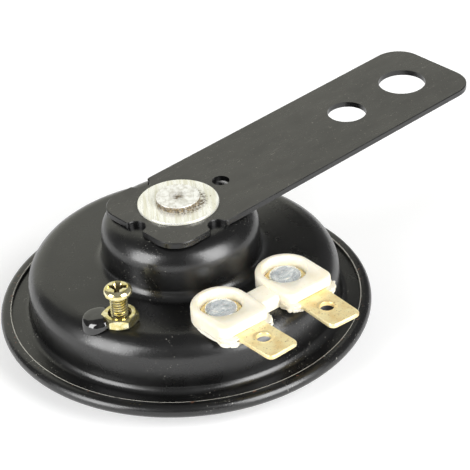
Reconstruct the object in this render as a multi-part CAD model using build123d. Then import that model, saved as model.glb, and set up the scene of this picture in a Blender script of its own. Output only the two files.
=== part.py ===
from build123d import *
import os
from math import atan2, cos, degrees, hypot, radians, sin, sqrt

# Electromagnetic disc horn for a motor vehicle. Millimetres, +Z up along the horn's axis.
# The origin is the centre of the front cover's outer face, which is what the horn rests on.
# +X points along the mounting bracket. Everything is stacked upwards from the front cover.

# Sheets
cover_sheet = 0.6
diaphragm_sheet = 0.25
gasket_sheet = 0.2
housing_sheet = 0.7
bracket_sheet = 1.0
washer_sheet = 0.5
spacer_sheet = 0.6
tone_disc_sheet = 0.6
hub_washer_sheet = 0.6
insulator_sheet = 1.2
arm_sheet = 0.3
strip_sheet = 0.8
lug_sheet = 0.6
tab_sheet = 0.8

# Clearances
shank_clearance = 0.1
slip_clearance = 0.05
tab_clearance = 0.1
bobbin_clearance = 0.8
striker_clearance = 0.5

# Front cover with its crimped hem
rim_radius = 32.5
hem_width = 1.95
hem_flat = 0.04
cover_depth = 3.85
cover_face_radius = 24.5
cover_slope = 3.5
cover_bend = 0.9
slot_count = 12
slot_length = 9.0
slot_width = 3.0
slot_reach = 16.0

# Rear housing: flange, wall, shoulder and centre dome
flange_band = 5.4
shoulder_height = 9.4
dome_radius = 13.7
dome_height = 9.3
foot_fillet = 1.3
shoulder_fillet = 4.0
dome_foot_fillet = 1.8
dome_fillet = 4.0

# Magnet core, whose end is peened over the bracket's washer
pole_radius = 7.0
pole_height = 1.4
core_radius = 5.5
spigot_radius = 3.4
core_head_radius = 3.9
core_head_height = 1.15
core_head_round = 0.2
dimple_radius = 0.9
dimple_depth = 0.35

# Mounting bracket and its washer
bracket_width = 20.4
bracket_tail = 10.0
bracket_reach = 65.0
tail_corner = 4.5
end_corner = 5.0
large_hole_radius = 4.33
large_hole_set_back = 9.4
small_hole_radius = 3.52
hole_spacing = 14.5
pilot_hole_radius = 1.53
pilot_hole_reach = 9.9
notch_radius = 1.65
notch_depth = 1.95
notch_flare = 0.6
sheared_edge = 0.12
washer_radius = 7.0
washer_edge = 0.1

# Coil
bobbin_wall = 0.8
bobbin_hub_radius = 8.0
bobbin_hub_height = 1.6
winding_set_back = 0.4

# Armature on the diaphragm, with the tone disc below it
air_gap = 0.7
armature_margin = 0.4
armature_thickness = 2.6
armature_edge = 0.5
armature_hub_radius = 6.0
armature_hub_height = 0.2
stem_radius = 2.5
stem_head_radius = 3.4
stem_head_height = 0.75
hub_washer_radius = 5.0
tone_disc_flat = 8.0
tone_disc_slope = 13.0
tone_disc_bend = 2.0
tone_disc_drop = 1.2

# Terminals, laid out in a frame whose outward direction is -Y, then turned about the horn's axis
terminal_turn = -3.75
rivet_set_in = 1.1
rivet_spread = 7.0
rivet_head_radius = 2.85
rivet_head_height = 0.85
rivet_head_round = 0.25
rivet_shank_radius = 1.5
rivet_tail_radius = 2.4
rivet_tail_height = 0.8
lobe_radius = 5.1
block_height = 2.9
block_floor = 0.4
block_front = 7.1
block_edge = 0.6
block_corner = 2.0
recess_radius = 3.5
web_depth = 4.8
web_height = 1.7
web_set_in = 0.2
lip_length = 0.9
block_spigot_radius = 2.4
tab_width = 6.35
tab_toe_in = 2.0
left_tab_length = 15.7
right_tab_length = 16.3
tab_hole_set_back = 5.2
tab_hole_radius = 0.9
tab_hole_sink = 0.4
tab_corner = 1.1
tab_edge = 0.15

# Adjusting screw (M3) with its lock nut and sealing lacquer
screw_set_out = 1.3
screw_azimuth = -160.5
thread_radius = 1.5
collar_radius = 2.4
collar_height = 0.5
nut_across_flats = 5.5
nut_height = 1.8
nut_azimuth = -135.0
nut_chamfer = 0.3
screw_stand = 3.9
screw_head_radius = 2.4
screw_head_height = 1.3
screw_head_round = 0.6
recess_length = 3.4
recess_width = 0.75
recess_depth = 0.9
lacquer_radius = 2.9
lacquer_height = 1.5
lacquer_set_out = 1.7
lacquer_azimuth = -169.0

# Contact breaker inside the housing, beside the coil
standoff_height = 2.0
standoff_radius = 2.5
insulator_width = 7.2
insulator_margin = 0.3
contact_height = 0.6
contact_radius = 1.5
contact_neck_radius = 0.7
contact_azimuth = -137.0
arm_width = 3.6
arm_eye_radius = 2.5
arm_insulation = 0.4
tongue_width = 3.2
striker_radius = 1.2
striker_round = 0.3
striker_neck_radius = 0.6
striker_gap = 0.4
strip_width = 5.0
pad_radius = 1.6
pad_height = 0.5
lug_width = 4.6
lug_length = 5.0

# Heights of the stack above the rest face
flange_seat = cover_depth + cover_sheet
diaphragm_top = flange_seat + diaphragm_sheet
gasket_top = diaphragm_top + gasket_sheet
flange_top = gasket_top + housing_sheet
hem_top = flange_top + cover_sheet
shoulder_top = flange_top + shoulder_height
shoulder_inside = shoulder_top - housing_sheet
dome_top = shoulder_top + dome_height
dome_inside = dome_top - housing_sheet
bracket_top = dome_top + bracket_sheet
washer_top = bracket_top + washer_sheet
armature_bottom = diaphragm_top + armature_hub_height
armature_top = armature_bottom + armature_thickness
pole_face = armature_top + air_gap
bobbin_seat = pole_face + pole_height
insulator_bottom = shoulder_inside - insulator_sheet
arm_top = insulator_bottom - standoff_height
arm_bottom = arm_top - arm_sheet
strip_top = arm_bottom - 2 * contact_height
strip_bottom = strip_top - strip_sheet
pad_top = strip_top + pad_height
tab_bottom = shoulder_top + block_floor
tab_top = tab_bottom + tab_sheet
nut_top = shoulder_top + nut_height
screw_head_seat = nut_top + screw_stand
lug_bottom = insulator_bottom - lug_sheet
spacer_bottom = flange_seat - spacer_sheet
tone_disc_bottom = spacer_bottom - tone_disc_sheet
hub_washer_bottom = tone_disc_bottom - hub_washer_sheet

# Places and radii that follow from the sizes above
large_hole_reach = bracket_reach - large_hole_set_back
small_hole_reach = large_hole_reach - hole_spacing
wall_radius = rim_radius - flange_band
shoulder_middle = (dome_radius + wall_radius) / 2
rivet_reach = shoulder_middle - rivet_set_in
screw_reach = shoulder_middle + screw_set_out
lacquer_reach = screw_reach + lacquer_set_out
bobbin_flange_radius = dome_radius - housing_sheet - bobbin_clearance
winding_radius = bobbin_flange_radius - winding_set_back
striker_reach = bobbin_flange_radius + striker_clearance + striker_radius
armature_radius = striker_reach + striker_radius + armature_margin
tone_disc_radius = tone_disc_flat + tone_disc_slope
hem_bend = (hem_top - cover_depth) / 2 - hem_flat
clamped_radius = rim_radius - hem_bend - slip_clearance
rivet_hole_radius = rivet_shank_radius + shank_clearance
thread_hole_radius = thread_radius + slip_clearance
spigot_hole_radius = spigot_radius + shank_clearance
stem_hole_radius = stem_radius + shank_clearance
bobbin_bore_radius = core_radius + shank_clearance
bobbin_tube_radius = bobbin_bore_radius + bobbin_wall
arm_hole_radius = rivet_hole_radius + arm_insulation + slip_clearance


def polar(reach, azimuth):
    """Point in plan at a distance from the horn's axis."""
    return Vector(reach * cos(radians(azimuth)), reach * sin(radians(azimuth)))


def azimuth_of(point):
    return degrees(atan2(point.Y, point.X))


left_rivet = Vector(-rivet_spread, -rivet_reach).rotate(Axis.Z, terminal_turn)
right_rivet = Vector(rivet_spread, -rivet_reach).rotate(Axis.Z, terminal_turn)
screw_centre = polar(screw_reach, screw_azimuth)
contact_centre = polar(shoulder_middle, contact_azimuth)
striker_centre = polar(striker_reach, contact_azimuth)


def spun(profile):
    """Turn a profile drawn as (radius, height) about the horn's axis."""
    return revolve(Plane.XZ * profile, Axis.Z)


def sheet_profile(corners, bends, sheet):
    """Section of a pressed sheet: corners run along its outer face, the sheet lies to their left."""
    points = [Vector(*corner) for corner in corners]
    sides = [(b - a).normalized() for a, b in zip(points, points[1:])]
    lefts = [Vector(-side.Y, side.X) for side in sides]
    inner = [points[0] + lefts[0] * sheet]
    inner_bends = []
    for i, bend in enumerate(bends):
        mitre = (lefts[i] + lefts[i + 1]) / (1 + lefts[i].dot(lefts[i + 1]))
        inner.append(points[i + 1] + mitre * sheet)
        turns_left = sides[i].cross(sides[i + 1]).Z > 0
        inner_bends.append(bend - sheet if turns_left else bend + sheet)
    inner.append(points[-1] + lefts[-1] * sheet)
    outline = points + inner[::-1]
    radii = [0, *bends, 0, 0, *inner_bends[::-1], 0]
    return make_face(FilletPolyline(*outline, radius=radii, close=True))


def ring(outer, inner, bottom, top):
    """Flat ring between two heights."""
    return Pos(0, 0, bottom) * extrude(Circle(outer) - Circle(inner), amount=top - bottom)


def drilled(radius, centre, bottom, top):
    """Vertical cylinder to cut a hole or add a boss."""
    return Pos(centre.X, centre.Y, bottom) * extrude(Circle(radius), amount=top - bottom)


def link(start, end, width):
    """Flat bar with round ends, centred on two points."""
    span = end - start
    middle = (start + end) / 2
    return Pos(middle.X, middle.Y) * Rot(0, 0, azimuth_of(span)) * SlotCenterToCenter(span.length, width)


def raised(sketch, bottom, top):
    return Pos(0, 0, bottom) * extrude(sketch, amount=top - bottom)


# Pressed shells and what is clamped between them

def rear_housing():
    corners = [
        (clamped_radius, flange_top),
        (wall_radius, flange_top),
        (wall_radius, shoulder_top),
        (dome_radius, shoulder_top),
        (dome_radius, dome_top),
        (spigot_hole_radius, dome_top),
    ]
    bends = [foot_fillet, shoulder_fillet, dome_foot_fillet, dome_fillet]
    shell = spun(sheet_profile(corners, bends, housing_sheet))
    collar_bottom = shoulder_inside - collar_height
    shell += drilled(collar_radius, screw_centre, collar_bottom, shoulder_inside)
    shell -= drilled(thread_hole_radius, screw_centre, collar_bottom, shoulder_top)
    for rivet in (left_rivet, right_rivet):
        hole = block_spigot_radius + shank_clearance
        shell -= drilled(hole, rivet, shoulder_inside, shoulder_top)
    return shell


def front_cover():
    corners = [
        (0, 0),
        (cover_face_radius, 0),
        (cover_face_radius + cover_slope, cover_depth),
        (rim_radius, cover_depth),
        (rim_radius, hem_top),
        (rim_radius - hem_width, hem_top),
    ]
    bends = [cover_bend, cover_bend, hem_bend, hem_bend]
    cover = spun(sheet_profile(corners, bends, cover_sheet))
    slots = Sketch() + PolarLocations(slot_reach, slot_count) * SlotOverall(slot_length, slot_width)
    return cover - extrude(slots, amount=cover_sheet)


def diaphragm():
    return ring(clamped_radius, stem_hole_radius, flange_seat, diaphragm_top)


def diaphragm_gasket():
    return ring(clamped_radius, wall_radius + foot_fillet, diaphragm_top, gasket_top)


# Magnet core and coil

def core_stud():
    head_top = washer_top + core_head_height
    points = [
        (0, pole_face),
        (pole_radius, pole_face),
        (pole_radius, bobbin_seat),
        (core_radius, bobbin_seat),
        (core_radius, dome_inside),
        (spigot_radius, dome_inside),
        (spigot_radius, washer_top),
        (core_head_radius, washer_top),
        (core_head_radius, head_top),
        (dimple_radius, head_top),
        (0, head_top - dimple_depth),
    ]
    rounds = [0] * len(points)
    rounds[8] = core_head_round
    return spun(make_face(FilletPolyline(*points, radius=rounds, close=True)))


def bobbin_flange_bottom():
    return dome_inside - bobbin_hub_height - bobbin_wall


def coil_bobbin():
    upper = bobbin_flange_bottom()
    bobbin = ring(bobbin_tube_radius, bobbin_bore_radius, bobbin_seat, dome_inside)
    bobbin += ring(bobbin_flange_radius, bobbin_bore_radius, bobbin_seat, bobbin_seat + bobbin_wall)
    bobbin += ring(bobbin_flange_radius, bobbin_bore_radius, upper, upper + bobbin_wall)
    bobbin += ring(bobbin_hub_radius, bobbin_bore_radius, upper + bobbin_wall, dome_inside)
    return bobbin


def coil_winding():
    bottom = bobbin_seat + bobbin_wall
    return ring(winding_radius, bobbin_tube_radius + slip_clearance, bottom, bobbin_flange_bottom())


# Armature, diaphragm hub and tone disc, peened together on the armature's stem

def armature():
    stem_bottom = hub_washer_bottom - stem_head_height
    points = [
        (0, armature_top),
        (armature_radius - armature_edge, armature_top),
        (armature_radius, armature_top - armature_edge),
        (armature_radius, armature_bottom),
        (armature_hub_radius, armature_bottom),
        (armature_hub_radius, diaphragm_top),
        (stem_radius, diaphragm_top),
        (stem_radius, hub_washer_bottom),
        (stem_head_radius, hub_washer_bottom),
        (stem_radius, stem_bottom),
        (0, stem_bottom),
    ]
    return spun(make_face(Polyline(*points, close=True)))


def diaphragm_spacer():
    return ring(armature_hub_radius, stem_hole_radius, spacer_bottom, flange_seat)


def tone_disc():
    corners = [
        (stem_hole_radius, tone_disc_bottom),
        (tone_disc_flat, tone_disc_bottom),
        (tone_disc_radius, tone_disc_bottom - tone_disc_drop),
    ]
    return spun(sheet_profile(corners, [tone_disc_bend], tone_disc_sheet))


def hub_washer():
    return ring(hub_washer_radius, stem_hole_radius, hub_washer_bottom, tone_disc_bottom)


# Bracket and washer under the peened core

def mounting_bracket():
    length = bracket_reach + bracket_tail
    plate = Pos((bracket_reach - bracket_tail) / 2, 0) * Rectangle(length, bracket_width)
    tail = plate.vertices().sort_by(Axis.X)[:2]
    plate = fillet(tail, tail_corner)
    end = plate.vertices().sort_by(Axis.X)[-2:]
    plate = fillet(end, end_corner)
    inset = notch_depth - notch_radius
    edge = bracket_width / 2
    for x, y in ((-bracket_tail + inset, 0), (0, edge - inset), (0, inset - edge)):
        plate = notched(plate, Vector(x, y))
    plate -= Circle(spigot_hole_radius)
    plate -= Pos(pilot_hole_reach, 0) * Circle(pilot_hole_radius)
    plate -= Pos(small_hole_reach, 0) * Circle(small_hole_radius)
    plate -= Pos(large_hole_reach, 0) * Circle(large_hole_radius)
    bracket = raised(plate, dome_top, bracket_top)
    return chamfer(bracket.faces().sort_by(Axis.Z)[-1].outer_wire().edges(), sheared_edge)


def notched(plate, centre):
    """Half-round notch punched in the plate's edge, its mouth rounded where it meets the edge."""
    cut = plate - Pos(centre.X, centre.Y) * Circle(notch_radius)
    near = sqrt(notch_radius**2 + 0.01)
    mouth = [v for v in cut.vertices() if hypot(v.X - centre.X, v.Y - centre.Y) < near]
    return fillet(mouth, notch_flare)


def bracket_washer():
    washer = ring(washer_radius, spigot_hole_radius, bracket_top, washer_top)
    rim = washer.edges().filter_by(GeomType.CIRCLE).sort_by(Axis.Z)[-2:].sort_by(SortBy.RADIUS)[-1]
    return fillet(rim, washer_edge)


# Terminals: drawn with the outward direction along -Y

def tab_turn(side):
    return side * -tab_toe_in


def at_rivet(side, shape):
    """Place a shape drawn about the rivet, outward along -Y, at one side of the terminal axis."""
    return Pos(side * rivet_spread, -rivet_reach) * Rot(0, 0, tab_turn(side)) * shape


def tongue(length):
    """Outline from the rivet line to the front, with the front corners rounded."""
    outline = Rectangle(2 * lobe_radius, length, align=(Align.CENTER, Align.MAX))
    return fillet(outline.vertices().sort_by(Axis.Y)[:2], block_corner)


def terminal_block():
    block_top = shoulder_top + block_height
    lobes = Sketch()
    lip = Sketch()
    for side in (-1, 1):
        centre = Pos(side * rivet_spread, -rivet_reach)
        lobes += centre * (Circle(lobe_radius) + tongue(block_front))
        lip += centre * tongue(block_front + lip_length)
    web_back = -rivet_reach + web_set_in
    web = Pos(0, web_back) * Rectangle(2 * rivet_spread, web_depth, align=(Align.CENTER, Align.MAX))
    block = raised(lobes, shoulder_top, block_top)
    block = fillet(block.faces().sort_by(Axis.Z)[-2:].edges(), block_edge)
    block += raised(web, shoulder_top, shoulder_top + web_height)
    block += raised(lip, shoulder_top, tab_top)
    for side in (-1, 1):
        centre = Vector(side * rivet_spread, -rivet_reach)
        block += drilled(block_spigot_radius, centre, shoulder_inside, shoulder_top)
        block -= drilled(recess_radius, centre, tab_bottom, block_top)
        block -= drilled(rivet_hole_radius, centre, shoulder_inside, shoulder_top + block_floor)
        reach = block_front + 2 * lip_length
        width = tab_width + 2 * tab_clearance
        passage = Rectangle(width, reach, align=(Align.CENTER, Align.MAX))
        block -= at_rivet(side, raised(passage, tab_bottom, tab_top + tab_clearance))
    return Rot(0, 0, terminal_turn) * block


def terminal_tab(side, length):
    blade = Rectangle(tab_width, length, align=(Align.CENTER, Align.MAX))
    blade = chamfer(blade.vertices().sort_by(Axis.Y)[:2], tab_corner)
    plan = blade + Circle(tab_width / 2)
    tab = raised(plan, tab_bottom, tab_top)
    rims = tab.faces().sort_by(Axis.Z)
    tab = chamfer(rims[0].edges() + rims[-1].edges(), tab_edge)
    hole = Vector(0, tab_hole_set_back - length)
    tab -= drilled(rivet_hole_radius, Vector(0, 0), tab_bottom, tab_top)
    tab -= drilled(tab_hole_radius, hole, tab_bottom, tab_top)
    sink = Cone(tab_hole_radius, tab_hole_radius + tab_hole_sink, tab_hole_sink,
                align=(Align.CENTER, Align.CENTER, Align.MAX))
    tab -= Pos(hole.X, hole.Y, tab_top) * sink
    return Rot(0, 0, terminal_turn) * at_rivet(side, tab)


def terminal_rivet(centre, tail_seat):
    """Rivet that clamps tab, block and insulator; its tail is closed below tail_seat."""
    tail = tail_seat - rivet_tail_height
    points = [
        (0, tail),
        (rivet_tail_radius, tail),
        (rivet_tail_radius, tail_seat),
        (rivet_shank_radius, tail_seat),
        (rivet_shank_radius, tab_top),
        (rivet_head_radius, tab_top),
        (rivet_head_radius, tab_top + rivet_head_height),
        (0, tab_top + rivet_head_height),
    ]
    rounds = [0] * len(points)
    rounds[1] = rivet_head_round
    rounds[6] = rivet_head_round
    rivet = spun(make_face(FilletPolyline(*points, radius=rounds, close=True)))
    return Pos(centre.X, centre.Y) * rivet


# Adjusting screw through the housing's tapped collar

def adjusting_screw():
    head_top = screw_head_seat + screw_head_height
    points = [
        (0, pad_top),
        (thread_radius, pad_top),
        (thread_radius, screw_head_seat),
        (screw_head_radius, screw_head_seat),
        (screw_head_radius, head_top),
        (0, head_top),
    ]
    rounds = [0] * len(points)
    rounds[4] = screw_head_round
    screw = spun(make_face(FilletPolyline(*points, radius=rounds, close=True)))
    slot = Rectangle(recess_length, recess_width)
    cross = slot + Rot(0, 0, 90) * slot
    screw -= raised(cross, head_top - recess_depth, head_top)
    return Pos(screw_centre.X, screw_centre.Y) * Rot(0, 0, nut_azimuth) * screw


def nut_corner_radius():
    return nut_across_flats / 2 / cos(radians(30))


def lock_nut():
    hexagon = RegularPolygon(nut_across_flats / 2, 6, major_radius=False, rotation=30)
    nut = raised(hexagon, shoulder_top, nut_top)
    turned = ring(nut_corner_radius(), thread_hole_radius, shoulder_top, nut_top)
    crown = turned.edges().filter_by(GeomType.CIRCLE).sort_by(SortBy.RADIUS)[-2:]
    nut &= chamfer(crown, nut_chamfer)
    return Pos(screw_centre.X, screw_centre.Y) * Rot(0, 0, nut_azimuth) * nut


def sealing_lacquer(nut):
    """Flat dab run over the shoulder against the nut."""
    centre = polar(lacquer_reach, lacquer_azimuth)
    dab_bottom = shoulder_top - shoulder_fillet / 2
    dab = drilled(lacquer_radius, centre, dab_bottom, shoulder_top + lacquer_height)
    dab = fillet(dab.edges().filter_by(GeomType.CIRCLE).sort_by(Axis.Z)[-1], lacquer_height * 0.8)
    outside = wall_radius + slip_clearance
    floor = shoulder_top + slip_clearance
    corners = [(0, 0), (outside, 0), (outside, floor), (0, floor)]
    filled = spun(make_face(FilletPolyline(*corners, radius=[0, 0, shoulder_fillet, 0], close=True)))
    plug = drilled(nut_across_flats / 2, screw_centre, shoulder_top, nut_top)
    return dab - filled - nut - plug


# Contact breaker

def insulator_plate():
    inner = dome_radius + dome_foot_fillet + insulator_margin
    outer = wall_radius - shoulder_fillet - insulator_margin / 2
    plan = link(left_rivet, right_rivet, insulator_width) & (Circle(outer) - Circle(inner))
    plate = raised(plan, insulator_bottom, shoulder_inside)
    plate += drilled(standoff_radius, left_rivet, arm_top, insulator_bottom)
    for rivet in (left_rivet, right_rivet):
        plate -= drilled(rivet_hole_radius, rivet, arm_top, shoulder_inside)
    return plate


def contact_arm():
    plan = link(left_rivet, contact_centre, arm_width)
    plan += link(contact_centre, striker_centre, tongue_width)
    plan += Pos(left_rivet.X, left_rivet.Y) * Circle(arm_eye_radius)
    arm = raised(plan, arm_bottom, arm_top)
    arm -= drilled(arm_hole_radius, left_rivet, arm_bottom, arm_top)
    arm -= drilled(contact_neck_radius + slip_clearance, contact_centre, arm_bottom, arm_top)
    arm -= drilled(striker_neck_radius + slip_clearance, striker_centre, arm_bottom, arm_top)
    return arm


def moving_contact():
    button = drilled(contact_radius, contact_centre, arm_bottom - contact_height, arm_bottom)
    return button + drilled(contact_neck_radius, contact_centre, arm_bottom, arm_top)


def fixed_contact():
    button = drilled(contact_radius, contact_centre, strip_top, strip_top + contact_height)
    return button + drilled(contact_neck_radius, contact_centre, strip_bottom, strip_top)


def contact_strip():
    start = azimuth_of(left_rivet)
    reach = (left_rivet.length + screw_reach) / 2
    path = CenterArc((0, 0), reach, start, screw_azimuth - start)
    strip = raised(SlotArc(path, strip_width), strip_bottom, strip_top)
    strip -= drilled(rivet_hole_radius, left_rivet, strip_bottom, strip_top)
    strip -= drilled(contact_neck_radius + slip_clearance, contact_centre, strip_bottom, strip_top)
    return strip


def contact_spacer():
    spacer = drilled(arm_eye_radius, left_rivet, strip_top, arm_bottom)
    spacer += drilled(rivet_hole_radius + arm_insulation, left_rivet, arm_bottom, arm_top)
    return spacer - drilled(rivet_hole_radius, left_rivet, strip_top, arm_top)


def striker():
    pin = drilled(striker_radius, striker_centre, armature_top + striker_gap, arm_bottom)
    pin = fillet(pin.edges().filter_by(GeomType.CIRCLE).sort_by(Axis.Z)[0], striker_round)
    return pin + drilled(striker_neck_radius, striker_centre, arm_bottom, arm_top)


def adjuster_pad():
    return drilled(pad_radius, screw_centre, strip_top, pad_top)


def solder_lug():
    away = polar(1, azimuth_of(right_rivet) + 90)
    plan = link(right_rivet, right_rivet + away * lug_length, lug_width)
    lug = raised(plan, lug_bottom, insulator_bottom)
    return lug - drilled(rivet_hole_radius, right_rivet, lug_bottom, insulator_bottom)


nut_solid = lock_nut()
pieces = {
    "rear_housing": rear_housing(),
    "front_cover": front_cover(),
    "diaphragm": diaphragm(),
    "diaphragm_gasket": diaphragm_gasket(),
    "core_stud": core_stud(),
    "coil_bobbin": coil_bobbin(),
    "coil_winding": coil_winding(),
    "armature": armature(),
    "diaphragm_spacer": diaphragm_spacer(),
    "tone_disc": tone_disc(),
    "hub_washer": hub_washer(),
    "mounting_bracket": mounting_bracket(),
    "bracket_washer": bracket_washer(),
    "terminal_block": terminal_block(),
    "terminal_tab_left": terminal_tab(-1, left_tab_length),
    "terminal_tab_right": terminal_tab(1, right_tab_length),
    "terminal_rivet_left": terminal_rivet(left_rivet, strip_bottom),
    "terminal_rivet_right": terminal_rivet(right_rivet, lug_bottom),
    "adjusting_screw": adjusting_screw(),
    "lock_nut": nut_solid,
    "sealing_lacquer": sealing_lacquer(nut_solid),
    "insulator_plate": insulator_plate(),
    "contact_arm": contact_arm(),
    "moving_contact": moving_contact(),
    "fixed_contact": fixed_contact(),
    "contact_strip": contact_strip(),
    "contact_spacer": contact_spacer(),
    "striker": striker(),
    "adjuster_pad": adjuster_pad(),
    "solder_lug": solder_lug(),
}

os.makedirs("parts", exist_ok=True)
for node, solid in pieces.items():
    export_step(solid, f"parts/{node}.step")
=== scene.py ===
from math import cos, pi, radians, sin, sqrt, tan

import bpy
from mathutils import Matrix, Vector


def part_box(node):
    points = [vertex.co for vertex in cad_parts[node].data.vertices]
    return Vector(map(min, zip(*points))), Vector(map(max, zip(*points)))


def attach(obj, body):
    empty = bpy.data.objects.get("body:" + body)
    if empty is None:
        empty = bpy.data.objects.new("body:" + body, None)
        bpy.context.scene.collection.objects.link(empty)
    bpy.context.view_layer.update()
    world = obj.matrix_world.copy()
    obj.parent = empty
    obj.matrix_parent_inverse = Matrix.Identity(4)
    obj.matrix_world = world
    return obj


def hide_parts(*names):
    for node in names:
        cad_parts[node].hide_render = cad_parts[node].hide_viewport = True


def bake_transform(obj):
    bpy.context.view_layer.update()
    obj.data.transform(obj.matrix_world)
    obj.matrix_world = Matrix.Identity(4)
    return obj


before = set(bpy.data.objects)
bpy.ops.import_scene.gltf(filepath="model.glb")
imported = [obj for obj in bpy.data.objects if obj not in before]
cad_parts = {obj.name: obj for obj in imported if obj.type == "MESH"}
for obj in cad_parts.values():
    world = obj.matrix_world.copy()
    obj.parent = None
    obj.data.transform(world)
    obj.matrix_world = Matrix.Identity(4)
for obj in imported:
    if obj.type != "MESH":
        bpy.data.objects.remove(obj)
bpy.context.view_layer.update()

# ---------------------------------------------------------------------------------------
# Rear housing. One deep drawing of 0.7 mm steel sheet: a flange, a wall, a flat shoulder
# and a centre dome, with the soft bends that the press leaves, under black stoving paint.
# ---------------------------------------------------------------------------------------

MM = 0.001
BEND_STEPS = 10
TURN_STEPS = 224
FLANGE_TOP = 5.6
WALL_RADIUS = 27.1
SHOULDER_TOP = 15.0
DOME_RADIUS = 13.7
FOOT_BEND = 1.3
SHOULDER_BEND = 4.0
DOME_FOOT_BEND = 1.8
DOME_BEND = 4.0
SPIGOT_HOLE_RADIUS = 3.5
HOUSING_SHEET = 0.7
HEM_OPENING = 30.5


def limits(node):
    """Lowest and highest corner of a CAD node, in millimetres."""
    return [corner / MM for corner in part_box(node)]


def rounded(corners, closed=False):
    """Points along a section whose corners (r, z, bend radius) become arcs."""
    points = []
    count = len(corners)
    for i, (r, z, radius) in enumerate(corners):
        corner = Vector((r, z))
        if radius == 0 or (not closed and i in (0, count - 1)):
            points.append(corner)
            continue
        before = (Vector(corners[i - 1][:2]) - corner).normalized()
        after = (Vector(corners[(i + 1) % count][:2]) - corner).normalized()
        half = before.angle(after) / 2
        centre = corner + (before + after).normalized() * radius / sin(half)
        start = corner + before * radius / tan(half) - centre
        sweep = pi - 2 * half
        if before.x * after.y - before.y * after.x > 0:
            sweep = -sweep
        for step in range(BEND_STEPS + 1):
            points.append(centre + Matrix.Rotation(sweep * step / BEND_STEPS, 2) @ start)
    if closed and corners[0][0] > 0:
        points.append(points[0])
    return points


def pressed(corners, sheet):
    """Closed section of a pressed sheet: corners run along its outer skin, the sheet to their left."""
    skin = [Vector(corner[:2]) for corner in corners]
    sides = [(b - a).normalized() for a, b in zip(skin, skin[1:])]
    lefts = [Vector((-side.y, side.x)) for side in sides]
    inner = [(*(skin[0] + lefts[0] * sheet), 0)]
    for i in range(1, len(skin) - 1):
        mitre = (lefts[i - 1] + lefts[i]) / (1 + lefts[i - 1].dot(lefts[i]))
        turns_left = sides[i - 1].x * sides[i].y - sides[i - 1].y * sides[i].x > 0
        bend = corners[i][2] - sheet if turns_left else corners[i][2] + sheet
        inner.append((*(skin[i] + mitre * sheet), bend))
    inner.append((*(skin[-1] + lefts[-1] * sheet), 0))
    return rounded(list(corners) + inner[::-1], closed=True)


def alone(piece=None):
    """Leave only this piece selected and active."""
    bpy.ops.object.select_all(action="DESELECT")
    if piece:
        piece.select_set(True)
        bpy.context.view_layer.objects.active = piece


def finished(piece, name, sharp=35):
    """Apply a piece's place, make its normals point outward and shade it smooth up to an angle."""
    alone(piece)
    piece.name = name
    piece.data.name = name
    bpy.ops.object.transform_apply(location=True, rotation=True, scale=True)
    bpy.ops.object.mode_set(mode="EDIT")
    bpy.ops.mesh.select_all(action="SELECT")
    bpy.ops.mesh.normals_make_consistent(inside=False)
    bpy.ops.object.mode_set(mode="OBJECT")
    bpy.ops.object.shade_smooth_by_angle(angle=radians(sharp))
    return piece


def traced(points):
    """A chain of edges through these places in mm, left selected in edit mode."""
    alone()
    places = [Vector(point) * MM for point in points]
    bpy.ops.mesh.primitive_plane_add(size=MM, location=places[0])
    piece = bpy.context.object
    bpy.ops.object.mode_set(mode="EDIT")
    bpy.ops.mesh.select_all(action="SELECT")
    bpy.ops.mesh.merge(type="CENTER")
    for here, there in zip(places, places[1:]):
        bpy.ops.mesh.extrude_vertices_move(TRANSFORM_OT_translate={"value": there - here})
    bpy.ops.mesh.select_all(action="SELECT")
    return piece


def turned(name, section, centre=(0, 0), steps=TURN_STEPS, sharp=35):
    """Spin a section (r, z) in mm about a vertical axis through this centre."""
    x, y = centre
    piece = traced([(x + r, y, z) for r, z in section])
    axis = Vector((x, y, 0)) * MM
    bpy.ops.mesh.spin(steps=steps, angle=2 * pi, center=axis, axis=(0, 0, 1))
    bpy.ops.mesh.select_all(action="SELECT")
    bpy.ops.mesh.remove_doubles(threshold=0.001 * MM)
    bpy.ops.object.mode_set(mode="OBJECT")
    return finished(piece, name, sharp)


def colour(hex_code):
    """Linear colour from an sRGB hex code."""
    parts = [int(hex_code[i:i + 2], 16) / 255 for i in (1, 3, 5)]
    return [c / 12.92 if c <= 0.04045 else ((c + 0.055) / 1.055) ** 2.4 for c in parts] + [1]


def add(tree, kind, inputs=None, **settings):
    """Add one node; inputs maps a socket to a value, or to the output that feeds it."""
    node = tree.nodes.new(kind)
    for name, value in settings.items():
        setattr(node, name, value)
    for socket, value in (inputs or {}).items():
        if isinstance(value, bpy.types.NodeSocket):
            tree.links.new(value, node.inputs[socket])
        else:
            node.inputs[socket].default_value = value
    return node


def material_tree(name):
    """A new material, its empty node tree, and the place on the object that patterns start from."""
    material = bpy.data.materials.new(name)
    material.use_nodes = True
    material.node_tree.nodes.clear()
    place = add(material.node_tree, "ShaderNodeTexCoord").outputs["Object"]
    return material, material.node_tree, place


def principled(tree, inputs):
    """Principled shader with these inputs, wired to the output."""
    shader = add(tree, "ShaderNodeBsdfPrincipled", inputs)
    add(tree, "ShaderNodeOutputMaterial", {"Surface": shader.outputs[0]})


def patches(tree, place, size_mm, low, high, detail=3.0, stretch=(1, 1, 1)):
    """Noise of a real size: 0 where its own value is below low, 1 above high."""
    grain = add(tree, "ShaderNodeMapping", {"Vector": place, "Scale": stretch}).outputs[0]
    noise = {"Vector": grain, "Scale": 1 / (size_mm * MM), "Detail": detail}
    value = add(tree, "ShaderNodeTexNoise", noise).outputs["Fac"]
    spread = {"Value": value, "From Min": low, "From Max": high}
    return add(tree, "ShaderNodeMapRange", spread).outputs[0]


def between(tree, factor, first, second):
    """Colour between two others."""
    inputs = {0: factor, 6: first, 7: second}
    return add(tree, "ShaderNodeMix", inputs, data_type="RGBA").outputs[2]


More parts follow.
